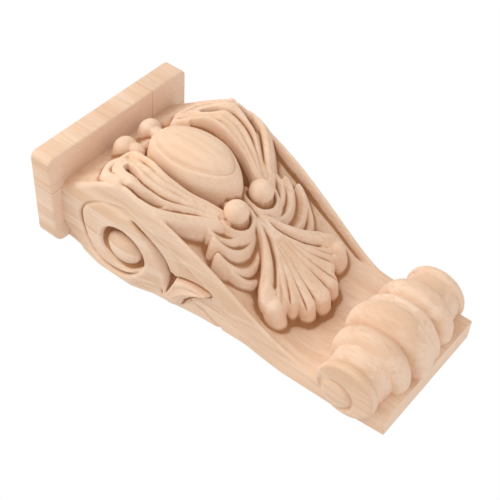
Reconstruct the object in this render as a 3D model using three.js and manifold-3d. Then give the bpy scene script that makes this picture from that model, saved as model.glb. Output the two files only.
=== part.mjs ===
// Wood corbel carved from one glued-up block.
// Millimetres. X runs across, the front faces -Y and Z is up.
// The origin is on the flat back, midway between foot and cap top.

import * as THREE from 'three';
import { mergeVertices } from 'three/addons/utils/BufferGeometryUtils.js';
import Module from 'manifold-3d';

const wasm = await Module();
wasm.setup();

// Overall
const height = 220;
const capWidth = 106.8;
const capDepth = 59.6;
const capThickness = 13.3;
const capFrontCorner = 4.2;
const capBackCorner = 7;
const capEase = 1;

// Body, with depths measured out from the wall
const footWidth = 78.8;
const footThickness = 13.6;
const shoulderWidth = 92;
const waistHeight = 46;
const waistDepth = 9.7;
const browHeight = 160;
const browDepth = 65;
const neckDepth = 43;
const rimWidth = 2.2;
const hollowDepth = 7.5;
const dishDepth = 3.4;
const scoopDepth = 5;
const moatDepth = 3;
const sideBand = 13.5;
const sideRecess = 3;

// Side scrolls
const scrollSpan = 98;
const scrollHeight = 38.2;
const scrollBack = 30;
const scrollFront = 20;
const scrollDepth = 24;
const scrollCentre = 168.6;
const scrollGroove = 1.9;
const eyeRadius = 10.4;

// Egg and its ring
const eggWidth = 36.5;
const eggLength = 60;
const eggDepth = 71.5;
const eggCentre = 153;
const eggRing = 0.9;

// Bosses beneath the egg
const bossSpacing = 20.4;
const bossRadius = 6.2;
const bossHeight = 117.4;
const bossProud = 10.5;

// Leaf
const leafRelief = 3.6;
const fanReach = 60;
const lobeReach = 25.5;
const lobeWidth = 15;
const fingerWidth = 10.4;
const strandWidth = 10;
const knobRadius = 6;

// Bottom roll
const rollDepth = 16;
const rollHeight = 23.5;
const rollSpan = 85;
const discRadius = 16.9;
const neckRadius = 13.6;
const beadRadius = 21.8;
const bulgeRadius = 24.8;

// Wood
const wood = { color: 0xe6c09d, roughness: 0.72, metalness: 0 };

const bodyHeight = height - capThickness;
const shoulder = shoulderWidth / 2;

// The carving is laid out on a body 206.7 high and 46 to each side
const up = (h) => (h / 206.7) * bodyHeight;
const aboveBrow = (t) => mix(browHeight, bodyHeight, t);
const across = (x) => (x / 46) * shoulder;
const mix = (a, b, t) => a + (b - a) * Math.min(1, Math.max(0, t));
const between = (h, low, high) => Math.min(1, Math.max(0, (h - low) / (high - low)));
const swell = (t) => Math.sin(Math.PI * Math.min(1, Math.max(0, t)));

// Closed solid from a shape, with its faces turned outward
function solid(geometry) {
  const bare = geometry.clone();
  bare.deleteAttribute('normal');
  bare.deleteAttribute('uv');
  const merged = mergeVertices(bare, 1e-4);
  const p = merged.attributes.position.array;
  const index = merged.index.array;
  const kept = [];
  let volume = 0;
  const a = new THREE.Vector3();
  const b = new THREE.Vector3();
  const c = new THREE.Vector3();
  for (let i = 0; i < index.length; i += 3) {
    const [u, v, w] = [index[i], index[i + 1], index[i + 2]];
    if (u === v || v === w || w === u) continue;
    kept.push(u, v, w);
    a.fromArray(p, 3 * u);
    b.fromArray(p, 3 * v);
    c.fromArray(p, 3 * w);
    volume += a.dot(b.cross(c));
  }
  if (volume < 0) {
    for (let i = 0; i < kept.length; i += 3) {
      [kept[i + 1], kept[i + 2]] = [kept[i + 2], kept[i + 1]];
    }
  }
  const mesh = new wasm.Mesh({
    numProp: 3,
    vertProperties: new Float32Array(p),
    triVerts: new Uint32Array(kept),
  });
  return new wasm.Manifold(mesh);
}

// Moves every point of a shape by a rule
function shaped(geometry, rule) {
  const position = geometry.attributes.position;
  const v = new THREE.Vector3();
  for (let i = 0; i < position.count; i++) {
    v.fromBufferAttribute(position, i);
    rule(v);
    position.setXYZ(i, v.x, v.y, v.z);
  }
  return geometry;
}

function ball(radiusX, radiusY, radiusZ, x, depth, h, around = 16, rows = 10) {
  const shape = new THREE.SphereGeometry(1, around, rows);
  shape.scale(radiusX, radiusY, radiusZ);
  shape.translate(x, -depth, h);
  return solid(shape);
}

function bothSides(one) {
  return one.add(one.mirror([1, 0, 0]));
}

// Front edge of the body as seen from the side: an ogee up to the brow, then back to the neck
const sweep = [
  new THREE.CubicBezierCurve(
    new THREE.Vector2(waistHeight, waistDepth),
    new THREE.Vector2(mix(waistHeight, browHeight, 0.27), waistDepth),
    new THREE.Vector2(mix(waistHeight, browHeight, 0.6), mix(waistDepth, browDepth, 0.74)),
    new THREE.Vector2(browHeight, browDepth),
  ),
  new THREE.CubicBezierCurve(
    new THREE.Vector2(browHeight, browDepth),
    new THREE.Vector2(mix(browHeight, bodyHeight, 0.15), browDepth + 0.5),
    new THREE.Vector2(mix(browHeight, bodyHeight, 0.45), mix(neckDepth, browDepth, 0.6)),
    new THREE.Vector2(bodyHeight, neckDepth),
  ),
].flatMap((curve) => curve.getPoints(40));

function frontDepth(h) {
  if (h <= waistHeight) return mix(footThickness, waistDepth, h / waistHeight);
  for (let i = 1; i < sweep.length; i++) {
    if (sweep[i].x >= h) {
      const run = sweep[i].x - sweep[i - 1].x;
      const t = run > 0 ? (h - sweep[i - 1].x) / run : 1;
      return mix(sweep[i - 1].y, sweep[i].y, t);
    }
  }
  return neckDepth;
}

function halfWidth(h) {
  return mix(footWidth / 2, shoulder, between(h, up(57), up(146)));
}

// Hollow between the rims, deepest beside the leaf and fading into the brow
function hollow(h) {
  const rise = between(h, up(56), up(110));
  const fall = 1 - between(h, up(118), up(150));
  return hollowDepth * rise * mix(0.35, 1, fall) * (1 - between(h, aboveBrow(0.4), aboveBrow(0.86)));
}

function dish(h) {
  const foot = between(h, up(46), up(56));
  const scoop = scoopDepth * swell(between(h, up(46), up(104)));
  const moat = moatDepth * between(h, up(128), up(142)) * (1 - between(h, aboveBrow(0.2), aboveBrow(0.43)));
  return dishDepth * foot * (1 - between(h, aboveBrow(0.2), aboveBrow(0.64))) + scoop + moat;
}

function body() {
  const columns = 10;
  const rows = 30;
  const shape = new THREE.BoxGeometry(2, 1, 1, columns, 3, rows);
  const reach = (bodyHeight + 4) / rows;
  return solid(shaped(shape, (v) => {
    const h = Math.min(bodyHeight + 1, Math.round((v.z + 0.5) * rows) * reach);
    const w = halfWidth(h);
    const front = frontDepth(h);
    const layer = Math.round((v.y + 0.5) * 3);
    const column = Math.abs(Math.round(v.x * columns / 2));
    const inner = w - rimWidth - 1.6;
    const places = [0, 0.34, 0.67, 1].map((s) => s * inner);
    const spot = column <= 3 ? places[column] : column === 4 ? w - rimWidth : w;
    const carved = between(h, up(78), up(92));
    const ledge = Math.min(sideBand, front * 0.6);
    const depths = [front, front - ledge, front - ledge - 1.4, 0];
    const recess = layer > 1 ? sideRecess * carved : 0;
    let depth = depths[layer];
    let x = spot;
    if (layer === 0 && column <= 3) {
      depth = front - hollow(h) - dish(h) * (1 - (spot / inner) ** 2);
    }
    if (column === 5) x = w - recess;
    v.set(Math.sign(v.x) * x, -depth, h);
  }));
}

function cap() {
  const w = capWidth / 2 - capEase;
  const d = capDepth - 2 * capEase;
  const f = capFrontCorner;
  const b = capBackCorner;
  const plan = new THREE.Shape();
  plan.moveTo(-w + f, 0);
  plan.lineTo(w - f, 0);
  plan.absarc(w - f, f, f, -Math.PI / 2, 0);
  plan.lineTo(w, d - b);
  plan.absarc(w - b, d - b, b, 0, Math.PI / 2);
  plan.lineTo(-w + b, d);
  plan.absarc(-w + b, d - b, b, Math.PI / 2, Math.PI);
  plan.lineTo(-w, f);
  plan.absarc(-w + f, f, f, Math.PI, 1.5 * Math.PI);
  const slab = new THREE.ExtrudeGeometry(plan, {
    depth: capThickness - 2 * capEase,
    bevelEnabled: true,
    bevelThickness: capEase,
    bevelSize: capEase,
    bevelSegments: 1,
    curveSegments: 4,
  });
  slab.translate(0, -d - capEase, bodyHeight + capEase);
  return solid(slab);
}

// Winding line of a side scroll, as depth and height, from the front over the top and inwards
function scrollLine(count) {
  const quarters = [27, 23.2, 16.4, 14.4, 11.8, 11.6];
  const turns = 1.33;
  const line = [];
  for (let i = 0; i <= count; i++) {
    const s = (4 * turns * i) / count;
    const k = Math.min(quarters.length - 2, Math.floor(s));
    const r = mix(quarters[k], quarters[k + 1], s - k);
    const angle = (Math.PI / 2) * s;
    line.push([scrollDepth - 1 + r * Math.cos(angle), up(scrollCentre) - 5.6 + 1.2 * r * Math.sin(angle)]);
  }
  return line;
}

function scroll() {
  const half = scrollSpan / 2;
  const thick = half - halfWidth(up(scrollCentre)) + 7;
  const profile = [[0, 0], [1, 0], [1, thick - 1.6], [0.94, thick], [0, thick]];
  const disc = new THREE.LatheGeometry(profile.map(([r, y]) => new THREE.Vector2(r, y)), 28);
  disc.rotateZ(-Math.PI / 2);
  shaped(disc, (v) => {
    const forward = mix(scrollFront, scrollBack - 2, between(v.z, -0.15, 0.6));
    const reach = v.y < 0 ? forward : scrollBack;
    v.set(v.x + half - thick, v.y * reach - scrollDepth, v.z * scrollHeight + up(scrollCentre));
  });
  const points = scrollLine(28).map(([d, h]) => new THREE.Vector3(half + 0.3, -d, h));
  const groove = new THREE.TubeGeometry(new THREE.CatmullRomCurve3(points), 28, scrollGroove, 4, false);
  const ends = [points[0], points[points.length - 1]];
  const round = ends.map((p) => ball(scrollGroove, scrollGroove, scrollGroove, p.x, -p.y, p.z, 6, 4));
  const eyeDepth = scrollDepth - 1.4;
  const eyeHeight = up(scrollCentre) - 6.6;
  const pocket = ball(3.4, eyeRadius + 2, eyeRadius * 1.3 + 2.4, half + 0.4, eyeDepth, eyeHeight, 16, 6);
  const eye = ball(4.4, eyeRadius, eyeRadius * 1.3, half - 3.4, eyeDepth - 0.6, eyeHeight, 16, 6);
  const cut = tube(groove, points).add(round[0]).add(round[1]).add(pocket);
  return { disc: solid(disc), cut, eye };
}

// Channel that parts the scroll from the front band
function channel() {
  const line = [[47, 168], [45.5, 159], [43.5, 150], [40, 142], [34, 135], [26, 130]];
  const points = line.map(([d, h]) => new THREE.Vector3(halfWidth(up(h)) - sideRecess, -d, up(h)));
  const geometry = new THREE.TubeGeometry(new THREE.CatmullRomCurve3(points), 10, sideRecess, 5, false);
  return tube(geometry, points);
}

// Round-ended cutter along a line of points
function tube(geometry, points) {
  const position = geometry.attributes.position;
  const sides = geometry.parameters.radialSegments;
  const rings = geometry.parameters.tubularSegments;
  const vertices = Array.from(position.array);
  const start = position.count;
  vertices.push(...points[0].toArray(), ...points[points.length - 1].toArray());
  const faces = Array.from(geometry.index.array);
  for (let j = 0; j < sides; j++) {
    const k = rings * (sides + 1) + j;
    faces.push(start, j, j + 1);
    faces.push(start + 1, k + 1, k);
  }
  const closed = new THREE.BufferGeometry();
  closed.setAttribute('position', new THREE.Float32BufferAttribute(vertices, 3));
  closed.setIndex(faces);
  return solid(closed);
}

// Carved ridge: round on top, upright at the sides, rooted in the body
function ridge(path, width, top, root, { sides = 8, steps = 7, crown = 0.55, face = 'front' } = {}) {
  const curve = new THREE.SplineCurve(path.map(([x, h]) => new THREE.Vector2(x, h)));
  const shape = new THREE.CylinderGeometry(1, 1, 1, sides, steps);
  return solid(shaped(shape, (v) => {
    const t = v.y + 0.5;
    const at = curve.getPoint(t);
    const along = curve.getTangent(t);
    const half = width(t);
    const x = at.x - along.y * v.x * half;
    const h = at.y + along.x * v.x * half;
    const crest = top(at.x, at.y, t);
    const lift = v.z > 1e-6 || (v.x === 0 && v.z === 0) ? crest - crown * half * (1 - v.z) ** 1.2 : root(at.x, at.y, t);
    if (face === 'front') v.set(x, -lift, h);
    else v.set(lift, -x, h);
  }));
}

const leafRoot = (x, h) => frontDepth(h) - hollowDepth - 9;

function egg() {
  const middle = up(eggCentre);
  const back = frontDepth(middle) - 19;
  const wide = eggWidth / 2;
  const tall = eggLength / 2;
  const taper = (s) => (s < 0 ? 1 - 0.3 * s * s : 1);
  const shape = new THREE.SphereGeometry(1, 18, 12);
  shape.rotateX(Math.PI / 2);
  shaped(shape, (v) => {
    v.set(v.x * wide * taper(v.z), -back + v.y * (eggDepth - back), middle + v.z * tall);
  });
  const ring = [];
  const beads = 20;
  for (let i = 0; i < beads; i++) {
    const a = (2 * Math.PI * i) / beads;
    const s = 0.81 * Math.sin(a);
    const x = 0.77 * Math.cos(a) * wide;
    const rise = Math.sqrt(Math.max(0, 1 - s * s - (x / (wide * taper(s))) ** 2));
    ring.push(new THREE.Vector3(x, -back - rise * (eggDepth - back) - 0.1, middle + s * tall));
  }
  const line = new THREE.TubeGeometry(new THREE.CatmullRomCurve3(ring, true), beads, eggRing, 4, true);
  return { egg: solid(shape), line: solid(line) };
}

function boss() {
  const h = up(bossHeight);
  const front = frontDepth(h) + bossProud;
  const r = bossRadius;
  const outline = [[0, 0], [r, 0], [r, 13], [r * 0.86, 15.4], [r * 0.5, 17.3], [0, 18]];
  const knob = new THREE.LatheGeometry(outline.map(([a, b]) => new THREE.Vector2(a, b)), 12);
  knob.rotateX(Math.PI);
  knob.translate(bossSpacing / 2, -(front - 18), h);
  const collar = new THREE.TorusGeometry(r + 1.4, 1.9, 5, 12);
  collar.rotateX(Math.PI / 2);
  collar.translate(bossSpacing / 2, -(front - 9.5), h);
  const seat = new THREE.CylinderGeometry(r + 4.6, r + 4.6, 14, 12);
  seat.translate(bossSpacing / 2, -(front - 17), h);
  return bothSides(solid(knob).add(solid(collar)).add(solid(seat)));
}

// Nested cups that open out beneath each boss
function cups() {
  const rows = [
    { x: 15, h: 118.6, wide: 14, tall: 10.4, low: 0, rise: 1 },
    { x: 15.5, h: 115, wide: 13.6, tall: 11, low: -3.4, rise: 6.4 },
    { x: 17, h: 109.5, wide: 15, tall: 12, low: -5.6, rise: 6.4 },
    { x: 18.3, h: 105.5, wide: 14.4, tall: 14, low: -6.6, rise: 5 },
  ];
  const profile = [[0, -9], [1, -9], [1, -1.2], [0.95, 0], [0.84, -1.2], [0, -2]];
  let all = null;
  for (const row of rows) {
    const cup = new THREE.LatheGeometry(profile.map(([r, y]) => new THREE.Vector2(r, y)), 13);
    shaped(cup, (v) => {
      const x = across(row.x) + v.x * row.wide;
      const h = up(row.h) + v.z * row.tall;
      const lift = row.low + row.rise * v.x * v.x + v.y;
      const depth = v.y < -8 ? leafRoot(x, h) : frontDepth(h) + lift;
      v.set(x, -depth, h);
    });
    const one = solid(cup);
    all = all ? all.add(one) : one;
  }
  return bothSides(all);
}

// Palmette: a broad lobe at each side and five fingers between
function fan() {
  const tipHeight = up(fanReach);
  const rootHeight = up(106);
  const crest = (x, h, t) => frontDepth(h) + leafRelief - 1.2 * swell(t);
  const fingers = [
    { x: 0, h: 0, wide: 1.1 },
    { x: 10.4, h: 2.8, wide: 1 },
    { x: 16, h: 9, wide: 0.9 },
  ];
  let all = null;
  for (const { x, h, wide } of fingers) {
    const path = [
      [across(x * 0.08), rootHeight],
      [across(x * 0.3), mix(rootHeight, tipHeight + h, 0.35)],
      [across(x * 0.66), mix(rootHeight, tipHeight + h, 0.7)],
      [across(x), tipHeight + h],
    ];
    const finger = ridge(path, (t) => mix(1.6, (wide * fingerWidth) / 2, t ** 0.75), crest, leafRoot, { crown: 0.4 });
    const pair = x === 0 ? finger : bothSides(finger);
    all = all ? all.add(pair) : pair;
  }
  const end = tipHeight + 17;
  const lobe = ridge(
    [
      [across(3), rootHeight + 1],
      [across(8.6), mix(rootHeight, end, 0.42)],
      [across(17), mix(rootHeight, end, 0.76)],
      [across(lobeReach), end],
    ],
    (t) => mix(1.8, lobeWidth / 2, t ** 0.8),
    (x, h, t) => frontDepth(h) + leafRelief - 1.6 * swell(t) + t,
    leafRoot,
    { crown: 0.4 },
  );
  const knob = ball(5.4, 5, 4.6, across(lobeReach) + 0.4, frontDepth(end) + 0.4, end - 0.2, 10, 6);
  const vein = ridge(
    [
      [across(2.6), rootHeight],
      [across(8), mix(rootHeight, end, 0.42)],
      [across(15), mix(rootHeight, end, 0.72)],
      [across(22), mix(rootHeight, end, 0.9)],
    ],
    () => 0.9,
    (x, h) => frontDepth(h) + 12,
    (x, h) => frontDepth(h) + leafRelief - 3.4,
    { crown: 0, sides: 4, steps: 6 },
  );
  return { leaf: all.add(bothSides(lobe.add(knob))), veins: bothSides(vein) };
}

// Long fluted strands that sweep up from the bosses to the curled tips
function strands() {
  const w = strandWidth / 2;
  const lines = [
    { path: [[10, 120], [14.6, 131], [18.6, 143], [21.2, 156], [20.6, 168], [16.6, 178]], wide: 1.02, lift: 0.6 },
    { path: [[14, 118.5], [22, 130], [28.4, 143], [32.6, 156], [34, 167], [31.4, 177]], wide: 1.28, lift: 1.2 },
    { path: [[17, 116.5], [28, 125.5], [37, 135.5], [42.4, 147], [44.6, 157], [45, 164]], wide: 0.56, lift: 0.6 },
  ];
  let all = null;
  for (const { path, wide, lift } of lines) {
    const one = ridge(
      path.map(([x, h]) => [across(x), up(h)]),
      (t) => w * wide * mix(0.45, 1, swell(Math.min(0.5, t * 0.7))) * (t > 0.86 ? 0.8 : 1),
      (x, h, t) => frontDepth(h) + 1.4 + lift * swell(t),
      (x, h) => frontDepth(h) - 14,
      { steps: 7, sides: wide < 0.8 ? 6 : 8, crown: 0.5 },
    );
    const tip = path[path.length - 1];
    const x = across(tip[0]);
    const h = up(tip[1]);
    const curl = ball(w * wide * 1.05, w, w * wide, x - 1, frontDepth(h) - 1.4, h + 0.5, 8, 6);
    all = all ? all.add(one).add(curl) : one.add(curl);
  }
  const h = aboveBrow(0.7);
  const knob = ball(knobRadius, knobRadius, knobRadius * 1.1, across(9.8), frontDepth(h) - 0.6, h, 10, 8);
  const stem = ridge(
    [[across(8), h - 15], [across(9), h - 7], [across(9.8), h]],
    () => knobRadius * 0.9,
    (x, y) => frontDepth(y) + 1.4,
    (x, y) => frontDepth(y) - 12,
    { steps: 5, sides: 8 },
  );
  return bothSides(all.add(knob).add(stem));
}

// Leaf tucked beneath each side scroll
function sideLeaf() {
  const lobe = (path, width, lift) => ridge(
    path.map(([d, h]) => [d, up(h)]),
    width,
    (d, h) => halfWidth(h) + lift,
    (d, h) => halfWidth(h) - sideRecess - 3,
    { steps: 6, sides: 6, crown: 0.3, face: 'side' },
  );
  const fang = lobe([[3, 134], [9, 128], [15, 121], [20, 112], [22.5, 106]], (t) => mix(7, 0.6, t ** 1.4), 0.4);
  const second = lobe([[8, 122], [9, 113], [5, 104], [2.2, 97]], (t) => mix(4.6, 1.2, t), -0.8);
  const third = lobe([[14, 108], [12.6, 99], [9, 90], [6.5, 83]], (t) => mix(3, 0.7, t), -0.9);
  return bothSides(fang.add(second).add(third));
}

function rollRadius(x) {
  const s = (Math.abs(x) * 85) / rollSpan;
  const place = (x * 85) / rollSpan;
  const valley = mix(neckRadius, beadRadius, 0.35);
  if (s > 38.4) return discRadius - 1.6 * ((s - 40.2) / 2.3) ** 2;
  if (s > 26.2) return mix(valley, discRadius - 1, between(s, 28, 38.4)) - 1.2 * swell(between(s, 26.2, 38.4));
  if (s > 13.6) return mix(valley, beadRadius, Math.sqrt(Math.max(0, 1 - ((s - 20) / 6.4) ** 2)));
  if (place > 9) return valley;
  if (place > 1.4) return beadRadius - 0.25;
  return mix(valley, bulgeRadius, Math.sqrt(Math.max(0, 1 - ((place + 3.2) / 10.6) ** 2)));
}

function roll() {
  const unit = rollSpan / 85;
  const stops = [42.5, 41.4, 38.6, 38.3, 33, 26.2, 24.6, 22.4, 20, 17.6, 15.2, 13.4];
  const centre = [-11, -7.4, -3.2, 0, 1.2, 1.5, 8.9, 9.1];
  const along = [...stops.map((s) => -s), ...centre, ...stops.reverse()];
  const line = along.map((s) => new THREE.Vector2(rollRadius(s * unit), s * unit));
  line.unshift(new THREE.Vector2(0, line[0].y));
  line.push(new THREE.Vector2(0, line[line.length - 1].y));
  const shape = new THREE.LatheGeometry(line, 18);
  shape.rotateZ(-Math.PI / 2);
  shape.translate(0, -rollDepth, rollHeight);
  const eyeDepth = rollDepth - 5;
  const pocket = ball(2.2, 9, 9, rollSpan / 2 + 0.6, eyeDepth, rollHeight + 4, 12, 6);
  const eye = ball(2.2, 7.4, 7.6, rollSpan / 2 - 1.4, eyeDepth, rollHeight + 4.4, 12, 6);
  return { turned: solid(shape), pocket: bothSides(pocket), eye: bothSides(eye) };
}

// Everything behind the wall plane or below the foot
function outside() {
  const behind = new THREE.BoxGeometry(3 * capWidth, capDepth * 2, 3 * height);
  behind.translate(0, capDepth, height / 2);
  const below = new THREE.BoxGeometry(3 * capWidth, 4 * capDepth, height);
  below.translate(0, 0, -height / 2);
  return solid(behind).add(solid(below));
}

function corbel() {
  const { disc, cut, eye } = scroll();
  const leafwork = fan();
  const oval = egg();
  const ends = roll();
  let block = body().add(bothSides(disc)).subtract(bothSides(cut.add(channel()))).add(bothSides(eye));
  block = block.add(sideLeaf());
  block = block.add(strands()).add(cups()).add(leafwork.leaf).subtract(leafwork.veins);
  block = block.add(boss()).add(oval.egg).subtract(oval.line);
  block = block.add(ends.turned).subtract(ends.pocket).add(ends.eye);
  block = block.simplify(0.25).add(cap()).subtract(outside());
  block = block.translate([0, 0, -height / 2]);
  const { vertProperties, triVerts } = block.getMesh();
  const geometry = new THREE.BufferGeometry();
  geometry.setAttribute('position', new THREE.BufferAttribute(new Float32Array(vertProperties), 3));
  geometry.setIndex(new THREE.BufferAttribute(new Uint32Array(triVerts), 1));
  geometry.computeVertexNormals();
  const mesh = new THREE.Mesh(geometry, new THREE.MeshStandardMaterial(wood));
  mesh.name = 'corbel';
  return mesh;
}

const group = new THREE.Group();
group.name = 'wood_corbel';
group.add(corbel());
export default group;
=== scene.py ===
import math

import bmesh
import bpy
import numpy as np
from bpy.props import FloatProperty, FloatVectorProperty, IntProperty, PointerProperty
from mathutils import Matrix, Vector


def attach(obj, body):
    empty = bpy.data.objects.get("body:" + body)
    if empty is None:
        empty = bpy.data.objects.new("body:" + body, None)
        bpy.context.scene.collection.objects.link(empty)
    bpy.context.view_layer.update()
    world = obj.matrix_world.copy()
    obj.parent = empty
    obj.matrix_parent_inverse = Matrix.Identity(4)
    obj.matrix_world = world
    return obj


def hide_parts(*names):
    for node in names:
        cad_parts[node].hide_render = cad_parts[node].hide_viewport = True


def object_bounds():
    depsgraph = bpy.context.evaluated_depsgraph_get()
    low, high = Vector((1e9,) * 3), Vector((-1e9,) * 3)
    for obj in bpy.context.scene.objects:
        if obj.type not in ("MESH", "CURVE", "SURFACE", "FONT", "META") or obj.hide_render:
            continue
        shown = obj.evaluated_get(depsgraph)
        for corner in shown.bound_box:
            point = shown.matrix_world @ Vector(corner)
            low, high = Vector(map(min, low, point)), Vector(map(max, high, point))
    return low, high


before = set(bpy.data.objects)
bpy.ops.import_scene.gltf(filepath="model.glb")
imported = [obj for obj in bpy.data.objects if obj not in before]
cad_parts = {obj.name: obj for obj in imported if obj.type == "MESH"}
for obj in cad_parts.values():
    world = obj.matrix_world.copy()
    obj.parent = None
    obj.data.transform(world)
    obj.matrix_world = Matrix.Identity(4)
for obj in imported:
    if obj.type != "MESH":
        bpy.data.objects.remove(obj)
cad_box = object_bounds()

bl_info = {
    "name": "Wood corbel",
    "version": (1, 0, 0),
    "blender": (4, 5, 0),
    "location": "View3D > Sidebar > Corbel",
    "description": "Carved wood corbel with scrolls, egg and leaf, made from one glued-up block",
    "category": "Add Mesh",
}

PIECE = "corbel_carved"

# Lengths in these tables are in millimetres: x or side from the middle, d or depth from the
# wall, h above the foot. A table pairs each place with a size, a path lists points, and an oval
# gives its middle and its two half widths.
HEIGHT = 220.0
BODY_TOP = 206.7
DEPTHS = {"foot": 13.6, "waist": 9.7, "brow": 65.5, "neck": 41.5}
WAIST_HEIGHT = 45.75
BROW_HEIGHT = 160.0
EDGE_RADII = [(0, 0.7), (118, 0.9), (136, 2.0), (150, 3.0), (182, 3.2), (196, 5.4), (207, 7.0)]
RIM_WIDTHS = [
    (0, 39.4), (15, 40.6), (41, 40.8), (47, 40), (57, 39.5), (63, 40.1), (84, 42), (117, 44.2),
    (146, 45.9), (206, 46),
]
RIM_WALLS = [
    (52, 0), (58, 0.9), (65, 1.9), (70, 3.3), (75, 3.8), (81, 4.3), (89, 5.3), (101, 7), (111, 8),
    (126, 7.6), (136, 6.4), (146, 5), (160, 4), (178, 3.4), (190, 1.6), (206, 0.4),
]
DISH_DEPTHS = [
    (44, 0), (50, 3), (57, 5.6), (65, 8), (73, 8.6), (86, 7.2), (100, 5), (116, 3.4), (130, 3.2),
    (172, 3), (188, 0.8), (206, 0.2),
]
USUAL_HOLLOW = 7.5
DEEPEST, HIGHEST = 2.0, 71.0
FAR = 1e3
CORNER_SHARE = 0.293
GRID_TOP = BODY_TOP + 1.5
GRID_WIDTH, GRID_DEPTH, LAYER_STEP = 92, 66, 1.35

EGG_MIDDLE = 153.2
EGG_SEAT = 51.5
EGG_GROOVE = [
    (17.8, 172), (19.9, 164), (20.6, 156), (20.3, 148), (17.8, 138), (13.8, 130.6), (10.8, 127.2),
]
MOAT = (0, 153, 21.5, 33)

BALL_SIDE, BALL_HEIGHT, BALL_DEPTH, BALL_RADIUS = 10.2, 117.4, 51.3, 6.65
STEM_RADIUS, RING_RADIUS, RING_HALF, RING_OUTER = 6.1, 8.8, 0.9, 9.7

# Side, height, half width and half height of each cup, then its lift and the rise of its tips
CUPS = [
    (14.5, 120.0, 13.8, 11.0, -0.7, 1.0),
    (15.5, 115.0, 14.5, 10.8, -2.4, 5.6),
    (18.5, 109.0, 15.5, 11.6, -4.9, 7.2),
    (19.5, 105.0, 13.5, 13.2, -6.0, 5.6),
]

FAN_LIFT = [(0, 0.6), (0.2, 3.6), (0.5, 3.6), (0.75, 3.1), (1, 3.2)]
FAN_FINGERS = [
    ([(0.2, 110), (0.1, 90), (0, 76), (0, 68.2)], 6.2),
    ([(0.6, 110), (3.2, 90), (7.0, 77.6), (10.0, 69.2)], 4.9),
    ([(1.0, 110), (5.8, 92), (11.6, 81.8), (15.6, 75.6)], 4.5),
]
FAN_CUTS = [
    ([(1.4, 100), (2.6, 86), (4.6, 73.4), (6.3, 60.6)], 0.8, 3.6),
    ([(2.4, 101), (5.4, 87), (9.3, 76.2), (13.0, 67.2)], 0.7, 3.4),
    ([(3.6, 100), (8.6, 87), (13.8, 79.6), (18.6, 73.8)], 0.7, 3.2),
]
FAN_LINES = [
    [(4.4, 101), (10.4, 89.4), (16.6, 82.2), (22.0, 77.0)],
    [(4.2, 103), (10.0, 92.0), (16.4, 85.4), (22.0, 80.6)],
]
LOBE = [(1.2, 112), (5.0, 100), (12.0, 90.6), (19.4, 84.0), (25.0, 80.4)]
LOBE_KNOB = (27.2, 78.2, 5.4, 5.0)
LOBE_VEIN = [(2.0, 108), (4.4, 100), (9.2, 93), (15.4, 87.2), (21.4, 82.8)]
LOBE_SCOOP = [(12, 96.5), (19, 90.6), (26.6, 86.6), (32, 84.5)]

INNER = [
    (16, 121.5), (19.8, 129.5), (23, 135.5), (26, 143), (28, 149.5), (28.4, 156.5), (27.2, 163.5),
    (25.2, 170.5), (23, 176.5), (20.8, 181.2),
]
INNER_WIDTHS = [
    (0, 2.4), (0.14, 3.7), (0.25, 4.8), (0.37, 5.8), (0.48, 6.6), (0.59, 7.1), (0.7, 6.9),
    (0.81, 6.6), (0.92, 6.0), (1, 5.4),
]
OUTER = [
    (20, 122), (25.8, 130), (30.5, 136), (35.8, 142.5), (38.4, 149), (40, 156.5), (39.6, 165),
    (37.6, 172.5), (33.4, 179.5), (27.4, 184.0),
]
OUTER_WIDTHS = [
    (0, 1.4), (0.14, 1.7), (0.24, 2.2), (0.36, 2.6), (0.45, 3.0), (0.56, 3.7), (0.68, 5.1),
    (0.78, 6.3), (0.9, 6.9), (1, 6.2),
]
EDGE = [
    (17, 117), (23, 121.5), (28.4, 126.5), (35.8, 133.2), (41.8, 140), (44.6, 147), (45.2, 156),
    (45.4, 163),
]
EDGE_WIDTHS = [(0, 2.2), (0.3, 2.7), (0.55, 2.8), (0.75, 2.2), (1, 1.8)]
LEAF_TROUGHS = [
    (
        [(43.0, 156), (40.6, 146.8), (36, 139.8), (30, 133.2), (23.4, 126.4), (18.6, 121.6)],
        1.7,
        1.7,
    ),
    ([(37.4, 152), (34.6, 144.4), (29.4, 136.6), (23.6, 129), (18.6, 123.6)], 0.9, 0.9),
    ([(24.4, 150), (21.8, 141), (18.6, 132.6), (15.6, 125.6)], 0.8, 0.6),
    ([(30.6, 152), (27.4, 143), (22.8, 134), (17.4, 125)], 0.8, 0.6),
]
LEAF_SCOOPS = [
    ([(21.2, 177.0), (22.2, 171.5), (24.4, 164.5), (26.4, 157.5)], 1.5, 2.2),
    ([(37.4, 174.0), (36.0, 178.6), (32.0, 182.8), (26.6, 184.6)], 1.0, 2.0),
    ([(17.2, 176.5), (19.6, 171.0), (21.0, 164.5)], 0.7, 0.7),
    ([(44.6, 166.5), (42.8, 164.2), (42.2, 161.0)], 2.2, 1.6),
    ([(36.4, 178.0), (40.4, 168), (41.8, 160.0)], 0.5, 0.6),
]
DRILLED = [(29.8, 173.4), (31.4, 170.0), (33.4, 165.4), (35.4, 160), (36.6, 155), (36.4, 150)]
PARTING = [(44.6, 164.0), (44.0, 160), (43.0, 155), (41.2, 149.8), (38.8, 144.6), (35.6, 140.2)]

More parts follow.
